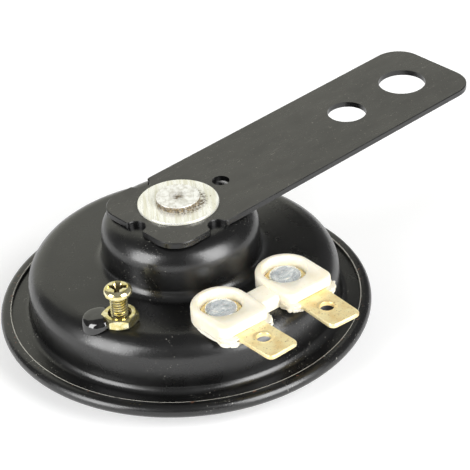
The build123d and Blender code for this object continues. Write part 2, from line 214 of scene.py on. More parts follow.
def level(tree, value, low, high):
    """A number between low and high as a 0 to 1 value goes up."""
    spread = {"Value": value, "To Min": low, "To Max": high}
    return add(tree, "ShaderNodeMapRange", spread).outputs[0]


def relief(tree, height, depth_mm, onto=None):
    """Bump normal for a 0 to 1 height of this real depth."""
    inputs = {"Height": height, "Distance": depth_mm * MM, "Strength": 1.0}
    if onto:
        inputs["Normal"] = onto
    return add(tree, "ShaderNodeBump", inputs).outputs[0]


def ramp(tree, value, start, end):
    """0 where a value is at start, 1 where it is at end."""
    spread = {"Value": value, "From Min": start, "From Max": end}
    return add(tree, "ShaderNodeMapRange", spread).outputs[0]


def times(tree, first, second):
    """Product of two values."""
    return add(tree, "ShaderNodeMath", {0: first, 1: second}, operation="MULTIPLY").outputs[0]


def most(tree, first, second):
    """The larger of two values."""
    return add(tree, "ShaderNodeMath", {0: first, 1: second}, operation="MAXIMUM").outputs[0]


def away_from(tree, place, x, y):
    """Distance in mm from a vertical line at this place in mm."""
    scaled = {0: place, 1: (1 / MM, 1 / MM, 0)}
    flat = add(tree, "ShaderNodeVectorMath", scaled, operation="MULTIPLY").outputs[0]
    return add(tree, "ShaderNodeVectorMath", {0: flat, 1: (x, y, 0)}, operation="DISTANCE").outputs["Value"]


def height_of(tree, place):
    """Height in mm above the front face."""
    z = add(tree, "ShaderNodeSeparateXYZ", {0: place}).outputs["Z"]
    return times(tree, z, 1 / MM)


def band(tree, value, low, high, soft):
    """1 while a value lies between two others, fading out over a soft margin."""
    return times(tree, ramp(tree, value, low - soft, low), ramp(tree, value, high + soft, high))


def black_stoving_paint():
    """Semi-gloss stoving paint on drawn steel: near black, fine orange peel, a little dust
    baked in. A thin bright line along the hem's cut edge is a painted highlight, broken up where the paint
    is worn, and it rusts through in chips there."""
    material, tree, place = material_tree("black_stoving_paint")
    dust = patches(tree, place, 0.3, 0.685, 0.71, 2)
    drifts = patches(tree, place, 8, 0.5, 0.6)
    skin = between(tree, times(tree, dust, drifts), colour("#080808"), colour("#8f8d86"))
    reach = away_from(tree, place, 0, 0)
    height = height_of(tree, place)
    hem = ramp(tree, height, FLANGE_TOP + 0.4, FLANGE_TOP + 0.5)
    # Painted highlight: a thin pale line along the hem's cut edge, broken up in patches like worn paint.
    edge = times(tree, hem, band(tree, reach, HEM_OPENING, HEM_OPENING + 0.22, 0.04))
    rubbed_shine = times(tree, edge, patches(tree, place, 3, 0.25, 0.4))
    skin = between(tree, times(tree, rubbed_shine, 0.85), skin, colour("#d8d5ca"))
    worn = band(tree, reach, HEM_OPENING + 0.1, HEM_OPENING + 0.8, 0.2)
    chips = times(tree, worn, patches(tree, place, 1.1, 0.66, 0.69))
    skin = between(tree, times(tree, times(tree, hem, chips), 0.8), skin, colour("#6b4837"))
    peel = patches(tree, place, 0.35, 0.2, 0.8)
    gloss = level(tree, patches(tree, place, 5, 0.35, 0.65), 0.25, 0.32)
    principled(tree, {
        "Base Color": skin, "Roughness": gloss, "IOR": 1.65, "Normal": relief(tree, peel, 0.009)})
    return material


def dress(piece, material, body, *nodes, slot=None):
    """Paint a finished piece and let it stand for CAD nodes on a body."""
    piece.data.materials.clear()
    piece.data.materials.append(material)
    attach(piece, body)
    if nodes:
        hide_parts(*nodes)


housing_high = limits("rear_housing")[1]
stoving_paint = black_stoving_paint()
housing = turned("housing_shell", pressed([
    (housing_high.x, FLANGE_TOP, 0),
    (WALL_RADIUS, FLANGE_TOP, FOOT_BEND),
    (WALL_RADIUS, SHOULDER_TOP, SHOULDER_BEND),
    (DOME_RADIUS, SHOULDER_TOP, DOME_FOOT_BEND),
    (DOME_RADIUS, housing_high.z, DOME_BEND),
    (SPIGOT_HOLE_RADIUS, housing_high.z, 0),
], HOUSING_SHEET))
dress(housing, stoving_paint, "horn", "rear_housing", slot="black_paint")

# ---------------------------------------------------------------------------------------
# Front cover. Pressed from 0.6 mm steel, slotted to let the sound out, and painted like
# the housing. Its edge is folded over housing, gasket and diaphragm as a round hem.
# ---------------------------------------------------------------------------------------

COVER_SHEET = 0.6
COVER_DEPTH = 3.85
FACE_RADIUS = 24.5
SLOPE_RADIUS = 28.0
COVER_BEND = 0.9
HEM_BEND = 1.135
CUT_EDGE = 0.15
SLOTS = 12
SLOT_LENGTH = 9.0
SLOT_WIDTH = 3.0
SLOT_REACH = 16.0


def cut(piece, tool, operation="DIFFERENCE"):
    """Boolean with a tool that is used up."""
    alone(piece)
    change = piece.modifiers.new("cut", "BOOLEAN")
    change.operation = operation
    change.solver = "EXACT"
    change.object = tool
    bpy.ops.object.modifier_apply(modifier=change.name)
    bpy.data.objects.remove(tool, do_unlink=True)


def choose(piece, test):
    """Select in edit mode the vertices whose place in mm passes a test, with what joins them."""
    bpy.ops.object.mode_set(mode="EDIT")
    bpy.ops.mesh.select_mode(type="VERT")
    bpy.ops.mesh.select_all(action="DESELECT")
    bpy.ops.object.mode_set(mode="OBJECT")
    for vertex in piece.data.vertices:
        vertex.select = test(vertex.co / MM)
    bpy.ops.object.mode_set(mode="EDIT")


def slot_tool(angle):
    """Round-ended bar that punches one sound slot: a cylinder with one half drawn outward."""
    alone()
    reach = Vector((cos(angle), sin(angle), 0))
    straight = SLOT_LENGTH - SLOT_WIDTH
    inner_end = reach * (SLOT_REACH - straight / 2)
    bpy.ops.mesh.primitive_cylinder_add(
        vertices=32, radius=SLOT_WIDTH / 2 * MM, depth=4 * MM,
        location=inner_end * MM, rotation=(0, 0, angle))
    tool = bpy.context.object
    bpy.ops.object.transform_apply(location=True, rotation=True)
    choose(tool, lambda place: (place - inner_end).dot(reach) > -0.01)
    bpy.ops.transform.translate(value=reach * straight * MM)
    bpy.ops.object.mode_set(mode="OBJECT")
    return tool


cover_high = limits("front_cover")[1]
cover = turned("front_cover_shell", pressed([
    (0, 0, 0),
    (FACE_RADIUS, 0, COVER_BEND),
    (SLOPE_RADIUS, COVER_DEPTH, COVER_BEND),
    (cover_high.x, COVER_DEPTH, HEM_BEND),
    (cover_high.x, cover_high.z, HEM_BEND),
    (HEM_OPENING + 0.05, cover_high.z, CUT_EDGE),
], COVER_SHEET))
for number in range(SLOTS):
    cut(cover, slot_tool(2 * pi * number / SLOTS))
choose(cover, lambda place: True)
bpy.ops.mesh.remove_doubles(threshold=0.005 * MM)
bpy.ops.mesh.fill_holes(sides=0)
bpy.ops.object.mode_set(mode="OBJECT")
finished(cover, "front_cover_shell")
dress(cover, stoving_paint, "horn", "front_cover", slot="black_paint")

# ---------------------------------------------------------------------------------------
# Mounting bracket. Blanked from 1 mm steel strip, with two mounting holes, a pilot hole
# and three locating notches, in the same paint but duller. The blanked edges stay sharp.
# ---------------------------------------------------------------------------------------


def smoothing():
    """Geometry nodes that weld a CAD mesh and shade it smooth up to 35 degrees."""
    tree = bpy.data.node_groups.new("smoothed", "GeometryNodeTree")
    tree.interface.new_socket("Geometry", in_out="INPUT", socket_type="NodeSocketGeometry")
    tree.interface.new_socket("Geometry", in_out="OUTPUT", socket_type="NodeSocketGeometry")
    source = add(tree, "NodeGroupInput").outputs[0]
    touching = {"Geometry": source, "Distance": 0.001 * MM}
    welded = add(tree, "GeometryNodeMergeByDistance", touching).outputs[0]
    faces = add(tree, "GeometryNodeSetShadeSmooth", {"Geometry": welded}).outputs[0]
    angle = add(tree, "GeometryNodeInputMeshEdgeAngle").outputs[0]
    steep = {0: angle, 1: radians(35)}
    sharp = add(tree, "FunctionNodeCompare", steep, operation="GREATER_THAN").outputs[0]
    creased = {"Geometry": faces, "Selection": sharp, "Shade Smooth": False}
    edges = add(tree, "GeometryNodeSetShadeSmooth", creased, domain="EDGE").outputs[0]
    add(tree, "NodeGroupOutput", {0: edges})
    return tree


def coated(piece, material):
    """Give a CAD mesh a material and smooth shading."""
    for slot in piece.material_slots:
        slot.material = material
    piece.modifiers.new("smoothed", "NODES").node_group = smoothed


def coat(material, *nodes):
    """Give CAD nodes that stay a material and smooth shading."""
    for node in nodes:
        coated(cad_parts[node], material)


def facing_up(tree):
    """1 on faces that look up, 0 on upright ones."""
    normal = add(tree, "ShaderNodeNewGeometry").outputs["Normal"]
    return ramp(tree, add(tree, "ShaderNodeSeparateXYZ", {0: normal}).outputs["Z"], 0.75, 0.97)


def bracket_paint():
    """Satin black paint on strip: its flat painted lighter and its upright blanked edges near black, as
    painted light and shade; dust specks and scratches on the flat, patchy gloss from handling, glossy on
    the blanked edges.
    """
    material, tree, place = material_tree("satin_bracket_paint")
    top = facing_up(tree)
    # Painted light and shade: the flat gets a lit dark grey, the upright faces near black as if in shade.
    film = between(tree, patches(tree, place, 7, 0.35, 0.65, 4), colour("#2c2b28"), colour("#232220"))
    skin = between(tree, top, colour("#060606"), film)
    dust = times(tree, top, patches(tree, place, 0.3, 0.7, 0.72, 2))
    skin = between(tree, dust, skin, colour("#77736a"))
    rubbed_shine = patches(tree, place, 6, 0.4, 0.7, 5, (1, 3, 1))
    scratches = patches(tree, place, 0.5, 0.66, 0.7, 2, (0.2, 2.5, 1))
    skin = between(tree, times(tree, top, times(tree, scratches, 0.3)), skin, colour("#5c5a55"))
    grain = patches(tree, place, 0.25, 0.2, 0.8)
    principled(tree, {
        "Base Color": skin, "Roughness": level(tree, rubbed_shine, 0.27, 0.36), "IOR": 1.65,
        "Normal": relief(tree, grain, 0.005)})
    return material


smoothed = smoothing()
coat(bracket_paint(), "mounting_bracket")

# ---------------------------------------------------------------------------------------
# Washer and core. A zinc-plated steel washer lies on the bracket. The magnet core comes
# up through housing, bracket and washer, and its end is peened over into a flat head.
# ---------------------------------------------------------------------------------------

WASHER_RADIUS = 7.0
POLE_RADIUS = 7.0
POLE_HEIGHT = 1.4
CORE_RADIUS = 5.5
SPIGOT_RADIUS = 3.4
STUD_RADIUS = 3.9
ROLLED_AZIMUTH = 52
washer_low, washer_high = limits("bracket_washer")
core_low, core_high = limits("core_stud")


def zinc(name, pale, dull, rough, rust, grain):
    """Zinc plate gone whitish, so half of it scatters light: fine streaks or hammered spots
    (the grain), small dents, and brown rust where its mask says."""
    material, tree, place = material_tree(name)
    along = {"Vector": place, "Angle": radians(-ROLLED_AZIMUTH)}
    rolled = add(tree, "ShaderNodeVectorRotate", along, rotation_type="Z_AXIS").outputs[0]
    streaks = patches(tree, rolled, 0.5, 0.4, 0.6, 4, grain)
    skin = between(tree, streaks, colour(pale), colour(dull))
    scratches = patches(tree, rolled, 0.3, 0.62, 0.68, 2, (0.1, 1.5, 1))
    skin = between(tree, times(tree, scratches, 0.35), skin, colour("#8c8a7c"))
    bloom = rust(tree, place)
    tone = between(tree, patches(tree, place, 0.3, 0.4, 0.6), colour("#352a18"), colour("#75613a"))
    skin = between(tree, bloom, skin, tone)
    roughness = most(tree, level(tree, streaks, rough, rough + 0.12), times(tree, bloom, 0.8))
    dents = most(tree, patches(tree, place, 0.6, 0.4, 0.8, 2), times(tree, scratches, 0.3))
    principled(tree, {
        "Base Color": skin, "Metallic": level(tree, bloom, 0.5, 0.0), "Roughness": roughness,
        "Normal": relief(tree, dents, 0.012)})
    return material


def washer_rust(tree, place):
    """Rust that creeps out from the stud's foot, mostly on one side, and a few pits farther out."""
    ring = ramp(tree, away_from(tree, place, 0.45, -0.4), 4.7, 3.9)
    near = ramp(tree, away_from(tree, place, 2, -3), 5, 3)
    pits = times(tree, patches(tree, place, 0.4, 0.67, 0.70, 2), near)
    creep = times(tree, ring, patches(tree, place, 0.35, 0.4, 0.6, 5))
    return most(tree, creep, times(tree, pits, 0.8))


def stud_rust(tree, place):
    """Rust all round the peened edge, and a tan bloom in the dimple."""
    edge = ramp(tree, height_of(tree, place), core_high.z - 0.12, core_high.z - 0.26)
    dimple = ramp(tree, away_from(tree, place, 0.2, 0.1), 1.7, 0.5)
    flecks = patches(tree, place, 0.4, 0.25, 0.5, 5)
    rim = times(tree, edge, level(tree, flecks, 0.6, 0.95))
    return most(tree, rim, times(tree, dimple, times(tree, flecks, 0.5)))


def roughened(piece, low, high, size_mm, depth_mm, middle=1.0):
    """Push the vertices between two heights about by noise, as hammering does: inward only,
    unless the noise's middle is set lower."""
    group = piece.vertex_groups.new(name="rough")
    group.add([v.index for v in piece.data.vertices if low < v.co.z / MM < high], 1.0, "REPLACE")
    noise = bpy.data.textures.new(piece.name + "_noise", "CLOUDS")
    noise.noise_scale = size_mm * MM
    push = piece.modifiers.new("push", "DISPLACE")
    push.texture = noise
    push.strength = depth_mm * MM
    push.mid_level = middle
    push.vertex_group = "rough"
    alone(piece)
    bpy.ops.object.modifier_apply(modifier=push.name)


washer = turned("bracket_washer_disc", rounded([
    (SPIGOT_RADIUS + 0.1, washer_low.z, 0),
    (WASHER_RADIUS, washer_low.z, 0.08),
    (WASHER_RADIUS, washer_high.z, 0.14),
    (SPIGOT_RADIUS + 0.1, washer_high.z, 0),
], closed=True), steps=128)
washer_zinc = zinc("zinc_washer", "#fffff8", "#efedda", 0.26, washer_rust, (0.08, 1, 1))
dress(washer, washer_zinc, "horn", "bracket_washer", slot="zinc_plate")

core = turned("core_peened", rounded([
    (0, core_low.z, 0),
    (POLE_RADIUS, core_low.z, 0.15),
    (POLE_RADIUS, core_low.z + POLE_HEIGHT, 0),
    (CORE_RADIUS, core_low.z + POLE_HEIGHT, 0),
    (CORE_RADIUS, housing_high.z - HOUSING_SHEET, 0),
    (SPIGOT_RADIUS, housing_high.z - HOUSING_SHEET, 0),
    (SPIGOT_RADIUS, washer_high.z, 0),
    (STUD_RADIUS - 0.15, washer_high.z, 0),
    (STUD_RADIUS - 0.2, washer_high.z + 0.35, 0),
    (STUD_RADIUS, washer_high.z + 0.6, 0.15),
    (STUD_RADIUS - 0.05, core_high.z, 0.2),
    (3.2, core_high.z, 0),
    (2.4, core_high.z, 0),
    (1.6, core_high.z, 0),
    (0.7, core_high.z - 0.12, 0.5),
    (0, core_high.z - 0.2, 0),
]), steps=128)
roughened(core, washer_high.z + 0.1, core_high.z + 1, 0.9, 0.16)
core_zinc = zinc("zinc_core", "#fffffb", "#e3e1d8", 0.3, stud_rust, (0.6, 0.6, 1))
dress(core, core_zinc, "horn", "core_stud", slot="stud_zinc")

# ---------------------------------------------------------------------------------------
# Terminal block. Moulded in white nylon: two round-backed lobes with a web between them,
# a lip under each tab, sunk rivet seats, and ragged flash where the mould halves met.
# ---------------------------------------------------------------------------------------

TERMINAL_TURN = radians(-3.75)
RIVET_SPREAD = 7.0
RIVET_REACH = 19.3
LOBE_RADIUS = 5.1
BLOCK_FRONT = 7.1
BLOCK_CORNER = 2.0
BLOCK_EDGE = 0.6
LIP = 0.9
WEB_REACH = 2.6
WEB_DEPTH = 4.8
WEB_HEIGHT = 2.3
WEB_EDGE = 0.6
WEB_SET_IN = 0.2
SEAT_RADIUS = 3.6
TAB_WIDTH = 6.35
block_high = limits("terminal_block")[1]
tab_low, tab_high = limits("terminal_tab_left")


def slab(xs, ys, zs, back=0.0, front=0.0, steps=16):
    """Upright slab between these limits in mm, the corners at its back and front rounded."""
    alone()
    middle = Vector(((xs[0] + xs[1]) / 2, (ys[0] + ys[1]) / 2, zs[0])) * MM
    bpy.ops.mesh.primitive_plane_add(size=MM, location=middle)
    piece = bpy.context.object
    bpy.ops.transform.resize(value=(xs[1] - xs[0], ys[1] - ys[0], 1), center_override=middle)
    bpy.ops.object.transform_apply(location=True, scale=True)
    for y, radius in ((ys[1], back), (ys[0], front)):
        if radius:
            choose(piece, lambda place: abs(place.y - y) < 0.001)
            bpy.ops.mesh.bevel(offset=radius * MM, segments=steps, affect="VERTICES")
    choose(piece, lambda place: True)
    bpy.ops.mesh.remove_doubles(threshold=0.02 * MM)
    bpy.ops.mesh.extrude_region_move(TRANSFORM_OT_translate={"value": (0, 0, (zs[1] - zs[0]) * MM)})
    bpy.ops.mesh.select_all(action="SELECT")
    bpy.ops.mesh.normals_make_consistent(inside=False)
    bpy.ops.object.mode_set(mode="OBJECT")
    return piece


def eased(piece, test, offset, steps=3):
    """Round the edges between the vertices that pass a test."""
    choose(piece, test)
    bpy.ops.mesh.bevel(offset=offset * MM, segments=steps, affect="EDGES")
    bpy.ops.object.mode_set(mode="OBJECT")


def moved(piece, matrix):
    """Carry a piece by a matrix in metres and keep its origin at the centre of the frame."""
    piece.matrix_world = matrix @ piece.matrix_world
    alone(piece)
    bpy.ops.object.transform_apply(location=True, rotation=True, scale=True)
    return piece


def ragged(piece, steps, size_mm, depth_mm):
    """Subdivide a thin skirt's outline and push it in and out by noise, as moulding flash runs."""
    choose(piece, lambda place: True)
    bpy.ops.mesh.subdivide(number_cuts=steps)
    bpy.ops.object.mode_set(mode="OBJECT")
    low = min(v.co.z for v in piece.data.vertices) / MM
    high = max(v.co.z for v in piece.data.vertices) / MM
    roughened(piece, low - 1, high + 1, size_mm, depth_mm, 0.45)


def joined(name, first, *others, sharp=35):
    """One object from several closed pieces."""
    alone(first)
    for other in others:
        other.select_set(True)
    bpy.ops.object.join()
    return finished(first, name, sharp)


def white_nylon():
    """Natural nylon, cream white: light sinks a little way in, so edges look soft. Faint dirt."""
    material, tree, place = material_tree("white_nylon")
    warm = patches(tree, place, 4, 0.4, 0.65)
    skin = between(tree, warm, colour("#f1ebda"), colour("#ece3ca"))
    dirt = patches(tree, place, 0.6, 0.66, 0.74, 3)
    skin = between(tree, times(tree, dirt, 0.25), skin, colour("#b9a67c"))
    orange = patches(tree, place, 0.8, 0.3, 0.7)
    principled(tree, {
        "Base Color": skin, "Roughness": 0.42, "Subsurface Weight": 0.25,
        "Subsurface Radius": (1.0, 0.8, 0.5), "Subsurface Scale": 1.2 * MM,
        "Normal": relief(tree, orange, 0.015)})
    return material


turn = Matrix.Rotation(TERMINAL_TURN, 4, "Z")
rivet_line = -RIVET_REACH
web_back = rivet_line + WEB_SET_IN
block = slab((-WEB_REACH, WEB_REACH), (web_back - WEB_DEPTH, web_back),
             (SHOULDER_TOP + 0.02, SHOULDER_TOP + WEB_HEIGHT))
eased(block, lambda place: place.z > SHOULDER_TOP + 1, WEB_EDGE, 5)
for side in (-1, 1):
    centre = side * RIVET_SPREAD
    back = rivet_line + LOBE_RADIUS
    front = rivet_line - BLOCK_FRONT
    lobe = slab((centre - LOBE_RADIUS, centre + LOBE_RADIUS), (front, back),
                (SHOULDER_TOP, block_high.z), LOBE_RADIUS, BLOCK_CORNER)
    eased(lobe, lambda place: place.z > block_high.z - 0.1, BLOCK_EDGE, 5)
    half = LOBE_RADIUS - 0.03
    lip = slab((centre - half, centre + half), (front - LIP, rivet_line - 4),
               (SHOULDER_TOP + 0.01, tab_high.z), 0, BLOCK_CORNER)
    eased(lip, lambda place: place.z > tab_high.z - 0.1, 0.2)
    cut(lobe, lip, "UNION")
    seat = turned("seat", [
        (0, tab_low.z), (SEAT_RADIUS, tab_low.z), (SEAT_RADIUS + 0.15, block_high.z - 0.35),
        (SEAT_RADIUS + 0.25, block_high.z - 0.1), (SEAT_RADIUS + 0.45, block_high.z + 0.02),
        (SEAT_RADIUS + 0.45, block_high.z + 1), (0, block_high.z + 1)], (centre, rivet_line), 64)
    cut(lobe, seat)
    half = TAB_WIDTH / 2 + 0.1
    passage = slab((centre - half, centre + half), (front - 3, rivet_line),
                   (tab_low.z + 0.01, tab_high.z + 0.1))
    cut(lobe, passage)
    cut(block, lobe, "UNION")

# The flash: a skirt at the block's foot and a thin seam level with the tabs.
flash = []
for side in (-1, 1):
    centre = side * RIVET_SPREAD
    half = LOBE_RADIUS + 0.1
    front = rivet_line - BLOCK_FRONT - LIP - 0.1
    skirt = slab((centre - half, centre + half), (front, rivet_line),
                 (SHOULDER_TOP, SHOULDER_TOP + 0.5), 0, BLOCK_CORNER, 8)
    ragged(skirt, 5, 1.1, 1.1)
    seam = slab((centre - half + 0.05, centre + half - 0.05), (front + 0.05, rivet_line - 5),
                (tab_high.z - 0.3, tab_high.z - 0.1), 0, BLOCK_CORNER, 8)
    ragged(seam, 5, 0.8, 0.9)
    flash += [skirt, seam]
joined("block", block, *flash)
moved(block, turn)
finished(block, "terminal_block_moulding", 40)
dress(block, white_nylon(), "horn", "terminal_block", slot="cream_nylon")

# ---------------------------------------------------------------------------------------
# Terminal tabs and rivets. The tabs are stamped from 0.8 mm brass, with eased edges and a
# dished hole for the connector's catch. The zinc-plated rivet heads were spun down on them.
# ---------------------------------------------------------------------------------------

EYELET_RADIUS = 3.5
TAB_LENGTHS = {"left": 15.7, "right": 16.3}
TAB_CORNER = 1.1
TAB_EDGE = 0.2
TAB_HOLE_SET_BACK = 5.2
TAB_HOLE_RADIUS = 1.2
DISH_RADIUS = 1.82
TOE_IN = radians(2.0)
RIVET_HEAD_RADIUS = 2.75
RIVET_SHANK_RADIUS = 1.5
RIVET_TAIL_RADIUS = 2.4
RIVET_TAIL_HEIGHT = 0.8


def tab_brass():
    """Stamped brass, pale and satin: warm tarnish in soft patches, scattered brown specks."""
    material, tree, place = material_tree("stamped_brass")
    warm = patches(tree, place, 2.2, 0.4, 0.65, 4)
    skin = between(tree, warm, colour("#fff0bd"), colour("#f7dc9f"))
    stain = patches(tree, place, 0.9, 0.6, 0.72, 5)
    skin = between(tree, times(tree, stain, 0.4), skin, colour("#b18a52"))
    specks = patches(tree, place, 0.28, 0.66, 0.70, 2)
    skin = between(tree, times(tree, specks, 0.7), skin, colour("#5d4526"))
    rolled = patches(tree, place, 0.3, 0.35, 0.65, 4, (3, 0.5, 1))
    principled(tree, {
        "Base Color": skin, "Metallic": 0.7, "Roughness": level(tree, warm, 0.34, 0.44),
        "Normal": relief(tree, rolled, 0.008)})
    return material


def rivet_zinc():
    """Bluish zinc plate on a spun rivet head: arcs left by the spinning tool, dark patches of dirt."""
    material, tree, place = material_tree("spun_zinc")
    smear = patches(tree, place, 1.3, 0.35, 0.65, 4, (1, 2, 1))
    skin = between(tree, smear, colour("#fafcfd"), colour("#ccd5d9"))
    darkening = patches(tree, place, 0.5, 0.6, 0.7, 4)
    skin = between(tree, times(tree, darkening, 0.5), skin, colour("#4f5557"))
    swirl = {"Vector": place, "Scale": 0.05 / (0.5 * MM), "Distortion": 6.0,
             "Detail": 2.0, "Detail Scale": 1.5}
    arcs = add(tree, "ShaderNodeTexWave", swirl).outputs["Fac"]
    principled(tree, {
        "Base Color": skin, "Metallic": 0.55, "Roughness": level(tree, smear, 0.2, 0.32),
        "Normal": relief(tree, arcs, 0.09)})
    return material


brass = tab_brass()
spun_zinc = rivet_zinc()
for side, hand in ((-1, "left"), (1, "right")):
    tab_name = "terminal_tab_" + hand
    rivet_name = "terminal_rivet_" + hand
    seat_place = Vector((side * RIVET_SPREAD, rivet_line, 0))
    length = TAB_LENGTHS[hand]
    half = TAB_WIDTH / 2
    tab = slab((-half, half), (-length, half), (tab_low.z, tab_high.z), half, TAB_CORNER, 3)
    eased(tab, lambda place: place.y < 10, TAB_EDGE, 1)
    eyelet = turned("eyelet", [
        (0, tab_low.z + 0.02), (EYELET_RADIUS, tab_low.z + 0.02),
        (EYELET_RADIUS, tab_high.z - 0.05), (0, tab_high.z - 0.05)], steps=72)
    cut(tab, eyelet, "UNION")
    hole = turned("hole", [
        (0, tab_low.z - 1), (TAB_HOLE_RADIUS, tab_low.z - 1), (TAB_HOLE_RADIUS, tab_high.z - 0.25),
        (TAB_HOLE_RADIUS + 0.08, tab_high.z - 0.1), (DISH_RADIUS - 0.1, tab_high.z - 0.06),
        (DISH_RADIUS, tab_high.z + 0.02), (0, tab_high.z + 0.02),
    ], (0, TAB_HOLE_SET_BACK - length), 48)
    cut(tab, hole)
    toe = Matrix.Rotation(-side * TOE_IN, 4, "Z")
    moved(tab, turn @ Matrix.Translation(seat_place * MM) @ toe)
    finished(tab, tab_name + "_stamped")
    dress(tab, brass, "horn", tab_name, slot="tab_brass")

    low, high = limits(rivet_name)
    seat_turned = turn @ seat_place
    rivet = turned(rivet_name + "_spun", rounded([
        (0, low.z, 0),
        (RIVET_TAIL_RADIUS, low.z, 0.25),
        (RIVET_TAIL_RADIUS, low.z + RIVET_TAIL_HEIGHT, 0),
        (RIVET_SHANK_RADIUS, low.z + RIVET_TAIL_HEIGHT, 0),
        (RIVET_SHANK_RADIUS, tab_high.z, 0),
        (RIVET_HEAD_RADIUS, tab_high.z, 0),
        (RIVET_HEAD_RADIUS, high.z - 0.15, 0.35),
        (RIVET_HEAD_RADIUS - 0.9, high.z, 0.5),
        (1.3, high.z - 0.12, 0.4),
        (0, high.z - 0.02, 0),
    ]), seat_turned[:2], 72)
    dress(rivet, spun_zinc, "horn", rivet_name, slot="rivet_zinc")

# ---------------------------------------------------------------------------------------
# Adjusting screw and lock nut. A yellow-passivated M3 cross-head screw that sets the
# contacts, with its thread open to view between the head and the chamfered nut.
# ---------------------------------------------------------------------------------------

SCREW_PLACE = Vector((-20.455, -7.244, 0))
THREAD_RADIUS = 1.5
THREAD_ROOT = 1.2
PITCH = 0.5
HEAD_RADIUS = 2.4
HEAD_HEIGHT = 1.3
HEAD_DOME = 0.85
WING_REACH = 2.05
WING_WIDTH = 1.0
WING_DEPTH = 1.25
NUT_FLATS = 5.5
NUT_AZIMUTH = radians(-135)
NUT_BORE_RADIUS = 2.05
screw_low, screw_high = limits("adjusting_screw")
nut_low, nut_high = limits("lock_nut")


def yellow_zinc():
    """Yellow-passivated zinc: mirror bright and greenish gold. Brown painted shade lies in the cross
    recess, in the roots of the thread and round the nut's bore, with a few dirt specks."""
    material, tree, place = material_tree("yellow_zinc")
    film = patches(tree, place, 0.9, 0.4, 0.6, 3)
    skin = between(tree, film, colour("#f3ecc6"), colour("#dfd291"))
    reach = away_from(tree, place, SCREW_PLACE.x, SCREW_PLACE.y)
    height = height_of(tree, place)
    # Painted shade: the thread's roots below the head, the cross recess and the nut's bore are darkened
    # brown. The noise added further down is dirt specks.
    root = ramp(tree, reach, THREAD_RADIUS - 0.06, THREAD_ROOT + 0.02)
    below = ramp(tree, height, screw_high.z - HEAD_HEIGHT + 0.1, screw_high.z - HEAD_HEIGHT - 0.05)
    cross = band(tree, height, screw_high.z - WING_DEPTH - 0.02, screw_high.z - 0.35, 0.15)
    recess = times(tree, cross, ramp(tree, reach, 2.0, 1.0))
    sunk = ramp(tree, height, nut_high.z + 0.1, nut_high.z - 0.05)
    bore = times(tree, band(tree, reach, THREAD_RADIUS, NUT_BORE_RADIUS - 0.1, 0.1), sunk)
    darkening = most(tree, most(tree, times(tree, root, below), recess), bore)
    darkening = most(tree, darkening, times(tree, patches(tree, place, 0.35, 0.64, 0.72, 4), 0.6))
    skin = between(tree, times(tree, darkening, 0.85), skin, colour("#5a4824"))
    nicks = patches(tree, place, 0.3, 0.35, 0.7, 3)
    principled(tree, {
        "Base Color": skin, "Metallic": 0.95, "Roughness": level(tree, film, 0.09, 0.16),
        "Normal": relief(tree, nicks, 0.005)})
    return material


def thread(low, high):
    """Helical thread of this pitch about the screw's place, between two heights."""
    piece = traced([
        (THREAD_ROOT, 0, 0), (THREAD_ROOT, 0, PITCH * 0.1), (THREAD_RADIUS, 0, PITCH * 0.45),
        (THREAD_RADIUS, 0, PITCH * 0.55), (THREAD_ROOT, 0, PITCH * 0.9), (THREAD_ROOT, 0, PITCH)])
    bpy.ops.object.mode_set(mode="OBJECT")
    bpy.ops.object.transform_apply(location=True)
    wind = piece.modifiers.new("wind", "SCREW")
    wind.screw_offset = PITCH * MM
    wind.iterations = int((high - low) / PITCH)
    wind.steps = wind.render_steps = 40
    bpy.ops.object.modifier_apply(modifier=wind.name)
    choose(piece, lambda place: True)
    bpy.ops.mesh.remove_doubles(threshold=0.002 * MM)
    bpy.ops.mesh.fill_holes(sides=0)
    bpy.ops.object.mode_set(mode="OBJECT")
    return moved(piece, Matrix.Translation((SCREW_PLACE + Vector((0, 0, low))) * MM))


yellow = yellow_zinc()
head_seat = screw_high.z - HEAD_HEIGHT
head = turned("head", rounded([
    (0, head_seat, 0),
    (HEAD_RADIUS, head_seat, 0.08),
    (HEAD_RADIUS, screw_high.z - 0.12, HEAD_DOME),
    (0, screw_high.z, 0),
]), SCREW_PLACE[:2], 64)
for quarter in (0, 1):
    wing = slab((-WING_REACH, WING_REACH), (-WING_WIDTH / 2, WING_WIDTH / 2),
                (screw_high.z - WING_DEPTH, screw_high.z + 0.3))
    choose(wing, lambda place: place.z < screw_high.z)
    bpy.ops.transform.resize(value=(0.3, 0.6, 1), center_override=(0, 0, 0))
    bpy.ops.object.mode_set(mode="OBJECT")
    quarter_turn = Matrix.Rotation(NUT_AZIMUTH + quarter * pi / 2, 4, "Z")
    moved(wing, Matrix.Translation(SCREW_PLACE * MM) @ quarter_turn)
    cut(head, wing)
pit = turned("pit", [
    (0, screw_high.z - 1.27), (0.4, screw_high.z - 1.2), (1.0, screw_high.z - 0.2),
    (1.15, screw_high.z + 0.3), (0, screw_high.z + 0.3)], SCREW_PLACE[:2], 24)
cut(head, pit)
thread_top = head_seat + 0.04
shank = turned("shank", [
    (0, screw_low.z), (THREAD_ROOT, screw_low.z), (THREAD_ROOT, thread_top), (0, thread_top)],
    SCREW_PLACE[:2], 40)
winding = thread(screw_low.z + 0.3, thread_top)
screw = joined("adjusting_screw_threaded", head, shank, winding, sharp=40)
dress(screw, yellow, "horn", "adjusting_screw", slot="yellow_zinc")

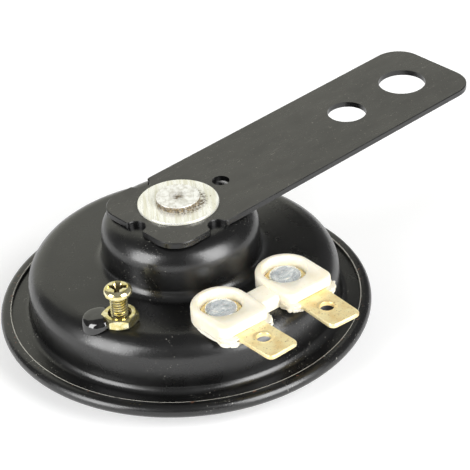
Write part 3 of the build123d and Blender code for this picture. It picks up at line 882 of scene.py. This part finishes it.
corner_radius = NUT_FLATS / sqrt(3)
flat_radius = NUT_FLATS / 2
nut_middle = SCREW_PLACE + Vector((0, 0, (nut_low.z + nut_high.z) / 2))
alone()
bpy.ops.mesh.primitive_cylinder_add(
    vertices=6, radius=corner_radius * MM, depth=(nut_high.z - nut_low.z) * MM,
    location=nut_middle * MM, rotation=(0, 0, NUT_AZIMUTH))
nut = bpy.context.object
bpy.ops.object.transform_apply(location=True, rotation=True)
outside = corner_radius + 0.05
envelope = turned("envelope", [
    (0, nut_low.z - 0.02), (flat_radius - 0.133, nut_low.z - 0.02), (outside, nut_low.z + 0.35),
    (outside, nut_high.z - 0.4), (flat_radius - 0.181, nut_high.z + 0.02), (0, nut_high.z + 0.02)],
    SCREW_PLACE[:2], 96)
cut(nut, envelope, "INTERSECT")
bore_radius = THREAD_RADIUS + 0.02
bore = turned("bore", [
    (0, nut_low.z - 1), (bore_radius, nut_low.z - 1), (bore_radius, nut_high.z - 0.45),
    (NUT_BORE_RADIUS, nut_high.z + 0.02), (0, nut_high.z + 0.02)], SCREW_PLACE[:2], 48)
cut(nut, bore)
finished(nut, "lock_nut_chamfered", 25)
dress(nut, yellow, "horn", "lock_nut", slot="yellow_zinc")

# ---------------------------------------------------------------------------------------
# Sealing lacquer. A dab of black lacquer run against the nut once the horn was tuned:
# it set smooth and wet-looking, climbs the nut's flat and sags over the shoulder's bend.
# ---------------------------------------------------------------------------------------

DAB_RADIUS = 2.9
DAB_REACH = 23.4
DAB_AZIMUTH = radians(-169.0)
FALL_PER_MM = 0.06
SAG_KEPT = 0.85
lacquer_high = limits("sealing_lacquer")[1]


def shoulder_drop(place):
    """How far the shoulder's bend has fallen away below its flat at this place, in mm."""
    past = place.to_2d().length - (WALL_RADIUS - SHOULDER_BEND)
    if past <= 0:
        return 0.0
    return SHOULDER_BEND - sqrt(max(0.0, SHOULDER_BEND ** 2 - min(past, SHOULDER_BEND) ** 2))


def wet_lacquer():
    """Black lacquer, wet gloss: mirror-sharp glints on a surface with a slow waviness."""
    material, tree, place = material_tree("wet_lacquer")
    waves = patches(tree, place, 1.6, 0.3, 0.7, 1)
    bloom = patches(tree, place, 1.2, 0.45, 0.65)
    skin = between(tree, bloom, colour("#060606"), colour("#181817"))
    principled(tree, {
        "Base Color": skin, "Roughness": level(tree, bloom, 0.04, 0.1), "IOR": 1.8,
        "Normal": relief(tree, waves, 0.04)})
    return material


alone()
dab_place = Vector((cos(DAB_AZIMUTH), sin(DAB_AZIMUTH), 0)) * DAB_REACH
dab_height = lacquer_high.z - SHOULDER_TOP
bpy.ops.mesh.primitive_uv_sphere_add(segments=64, ring_count=40, radius=MM, location=dab_place * MM)
dab = bpy.context.object
bpy.ops.transform.resize(value=(DAB_RADIUS, DAB_RADIUS, dab_height), center_override=dab_place * MM)
bpy.ops.object.transform_apply(location=True, scale=True)
choose(dab, lambda place: place.z < 0.01)
bpy.ops.mesh.delete(type="VERT")
choose(dab, lambda place: True)
bpy.ops.mesh.fill_holes(sides=0)
bpy.ops.object.mode_set(mode="OBJECT")

# A flat top that falls away from the nut, with a steep round edge that follows the bend.
for vertex in dab.data.vertices:
    place = vertex.co / MM
    spread = min(1.0, (place.to_2d() - dab_place.to_2d()).length / DAB_RADIUS)
    plateau = (1.0 - spread ** 6) ** (1 / 2.4)
    from_nut = max(0.0, (place.to_2d() - SCREW_PLACE.to_2d()).length - NUT_FLATS / 2)
    above = dab_height * (1.0 - FALL_PER_MM * from_nut) * plateau
    below = shoulder_drop(place) * (1.0 - SAG_KEPT * plateau)
    vertex.co.z = (SHOULDER_TOP + above - below) * MM
finished(dab, "sealing_lacquer_dab", 60)
dress(dab, wet_lacquer(), "horn", "sealing_lacquer", slot="black_lacquer")

# ---------------------------------------------------------------------------------------
# Inside, only seen through the sound slots: coil, armature, tone disc and contacts keep
# their CAD solids and get the metal, fibre, enamel or plastic that each is made of. The
# diaphragm is turned again as a flat plate, and the contacts' leaf is a copy of the contact arm.
# ---------------------------------------------------------------------------------------

STEM_HOLE_RADIUS = 2.6
HUB_RADIUS = 6
CLAMP_RADIUS = 28


def worked_metal(name, pale, dull, rough, metal=1.0, grain=(1, 1, 1)):
    """Bare or plated metal with a grain, cloudy where oil has dried on it."""
    material, tree, place = material_tree(name)
    cloud = patches(tree, place, 2.5, 0.35, 0.65, 4)
    lines = patches(tree, place, 0.3, 0.35, 0.65, 3, grain)
    principled(tree, {
        "Base Color": between(tree, cloud, colour(pale), colour(dull)), "Metallic": metal,
        "Roughness": level(tree, cloud, rough, rough + 0.12), "Normal": relief(tree, lines, 0.006)})
    return material


def matt_stuff(name, pale, dull, rough, fibre_mm=0.4):
    """Moulded plastic, paper or pressed fibre: two tones in small flecks, no metal."""
    material, tree, place = material_tree(name)
    flecks = patches(tree, place, fibre_mm, 0.35, 0.65, 4)
    principled(tree, {
        "Base Color": between(tree, flecks, colour(pale), colour(dull)), "Roughness": rough,
        "Normal": relief(tree, flecks, 0.01)})
    return material


def wound_copper():
    """Enamelled copper wire wound side by side: fine ridges up the coil, amber lacquer over it."""
    material, tree, place = material_tree("wound_copper")
    wire = {"Vector": place, "Scale": 0.05 / (0.35 * MM), "Distortion": 0.4, "Detail": 1.0}
    ridges = add(tree, "ShaderNodeTexWave", wire, bands_direction="Z").outputs["Fac"]
    # Painted shade: the colour follows the ridges and is darker in the grooves between turns.
    skin = between(tree, ridges, colour("#6e2f14"), colour("#c06a35"))
    principled(tree, {
        "Base Color": skin, "Metallic": 0.7, "Roughness": 0.3, "Coat Weight": 0.5,
        "Normal": relief(tree, ridges, 0.12)})
    return material


spring_steel = worked_metal("spring_steel", "#c9ccd0", "#9aa0a8", 0.25, 1.0, (4, 0.4, 1))
plain_steel = worked_metal("plain_steel", "#b9b8b4", "#8d8a84", 0.35)
diaphragm_low, diaphragm_high = limits("diaphragm")
radii = [STEM_HOLE_RADIUS, *range(HUB_RADIUS, CLAMP_RADIUS + 1), diaphragm_high.x]
under = [(radius, diaphragm_low.z) for radius in radii]
over = [(radius, diaphragm_high.z) for radius in reversed(radii)]
plate = turned("diaphragm_plate", under + over + under[:1])
plate.data.materials.append(spring_steel)

# Each vertex is laid at its distance from the axis while the plate's transform is baked
# into its mesh, and then goes back to its place.
places = [vertex.co.copy() for vertex in plate.data.vertices]
for vertex in plate.data.vertices:
    vertex.co = (vertex.co.to_2d().length, 0, 0)
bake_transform(plate)
for vertex, place in zip(plate.data.vertices, places):
    vertex.co = place
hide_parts("diaphragm")

coat(plain_steel, "armature", "diaphragm_spacer", "tone_disc", "hub_washer")
spring_brass = worked_metal("spring_brass", "#e2bf7c", "#c59c57", 0.3, 1.0, (3, 0.5, 1))
coat(spring_brass, "contact_strip", "solder_lug")
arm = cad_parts["contact_arm"]
leaf = bpy.data.objects.new("contact_leaf", arm.data.copy())
leaf.matrix_world = arm.matrix_world
bpy.context.scene.collection.objects.link(leaf)
coated(leaf, spring_brass)
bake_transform(leaf)
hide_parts("contact_arm")

coat(worked_metal("contact_metal", "#dfe0e0", "#b5b6b8", 0.3), "moving_contact", "fixed_contact")
coat(matt_stuff("gasket_paper", "#8f8168", "#6f634e", 0.9), "diaphragm_gasket")
coat(matt_stuff("black_nylon", "#161616", "#1f1f1f", 0.5, 1.0), "coil_bobbin")
coat(matt_stuff("brown_fibre", "#6b4527", "#4f311a", 0.7),
     "insulator_plate", "contact_spacer", "striker", "adjuster_pad")
coat(wound_copper(), "coil_winding")

# ---------------------------------------------------------------------------------------
# Studio. The horn lies face down on white paper, with lit paper hung behind it and a
# softbox on either side of the camera. The room is white to the camera and dim to the rest.
# ---------------------------------------------------------------------------------------

LENS_MM = 176.61
SENSOR_MM = 36.0
CAMERA_PLACE = Vector((-212.2476, -255.6710, 236.6047)) * MM
CAMERA_YAW = 0.720871
CAMERA_PITCH = 0.581792
CAMERA_ROLL = -0.064149


def direction(azimuth, elevation):
    """Unit vector from angles in degrees."""
    a, e = radians(azimuth), radians(elevation)
    return Vector((cos(a) * cos(e), sin(a) * cos(e), sin(e)))


def softbox(name, azimuth, elevation, width, height, radiance):
    """Rectangular soft light a metre away, its sides given as the angles it fills in degrees."""
    lamp = bpy.data.lights.new(name, "AREA")
    lamp.shape = "RECTANGLE"
    lamp.size = 2 * tan(radians(width / 2))
    lamp.size_y = 2 * tan(radians(height / 2))
    lamp.energy = radiance * pi * lamp.size * lamp.size_y
    box = bpy.data.objects.new(name, lamp)
    way = direction(azimuth, elevation)
    box.location = way
    box.rotation_euler = way.to_track_quat("Z", "Y").to_euler()
    bpy.context.scene.collection.objects.link(box)


ahead = Vector((sin(CAMERA_YAW), cos(CAMERA_YAW), 0))
forward = ahead * cos(CAMERA_PITCH) - Vector((0, 0, sin(CAMERA_PITCH)))
side = Vector((cos(CAMERA_YAW), -sin(CAMERA_YAW), 0))
upright = side.cross(forward)
across = side * cos(CAMERA_ROLL) + upright * sin(CAMERA_ROLL)
above = upright * cos(CAMERA_ROLL) - side * sin(CAMERA_ROLL)
camera_data = bpy.data.cameras.new("camera")
camera_data.sensor_width = SENSOR_MM
camera_data.lens = LENS_MM
camera = bpy.data.objects.new("camera", camera_data)
facing = Matrix((across, above, -forward)).transposed().to_4x4()
camera.matrix_world = Matrix.Translation(CAMERA_PLACE) @ facing
bpy.context.scene.collection.objects.link(camera)
bpy.context.scene.camera = camera

softbox("softbox_right", -82, 25, 34, 52, 8.8)
softbox("softbox_left", 173, 21, 31, 44, 7.8)


def paper(name, tone, lift):
    """White paper; the lift whitens it for the camera and wherever metal mirrors it, and
    casts no light, so that only the faint shadow under the horn is left."""
    material, tree, place = material_tree(name)
    path = add(tree, "ShaderNodeLightPath").outputs
    mirrored = most(tree, path["Is Glossy Ray"], path["Is Transmission Ray"])
    looked_at = most(tree, path["Is Camera Ray"], mirrored)
    sheet = add(tree, "ShaderNodeBsdfDiffuse", {"Color": colour(tone)}).outputs[0]
    glow = add(tree, "ShaderNodeEmission", {"Strength": times(tree, looked_at, lift)}).outputs[0]
    both = add(tree, "ShaderNodeAddShader", {0: sheet, 1: glow}).outputs[0]
    add(tree, "ShaderNodeOutputMaterial", {"Surface": both})
    return material


alone()
bpy.ops.mesh.primitive_plane_add(size=4, location=(0, 0, -0.05 * MM))
floor = bpy.context.object
floor.name = "paper_floor"
floor.data.materials.append(paper("white_paper", "#dadada", 0.4))

BACKDROP_AZIMUTH = 68
BACKDROP_AWAY = 0.8
bpy.ops.mesh.primitive_plane_add(
    size=1, location=direction(BACKDROP_AZIMUTH, 0) * BACKDROP_AWAY + Vector((0, 0, 0.5)),
    rotation=(pi / 2, 0, radians(BACKDROP_AZIMUTH - 90)))
backdrop = bpy.context.object
backdrop.name = "paper_backdrop"
glow, tree, place = material_tree("lit_paper")
light = add(tree, "ShaderNodeEmission", {"Color": colour("#fffff2"), "Strength": 0.9})
add(tree, "ShaderNodeOutputMaterial", {"Surface": light.outputs[0]})
backdrop.data.materials.append(glow)

world = bpy.data.worlds.new("studio")
bpy.context.scene.world = world
world.use_nodes = True
tree = world.node_tree
tree.nodes.clear()
seen = add(tree, "ShaderNodeLightPath").outputs["Is Camera Ray"]
room = add(tree, "ShaderNodeBackground", {"Color": colour("#ffffff"), "Strength": 0.2})
white = add(tree, "ShaderNodeBackground", {"Color": colour("#ffffff"), "Strength": 1.0})
sky = add(tree, "ShaderNodeMixShader", {0: seen, 1: room.outputs[0], 2: white.outputs[0]})
add(tree, "ShaderNodeOutputWorld", {"Surface": sky.outputs[0]})
bpy.context.scene.view_settings.view_transform = "Standard"
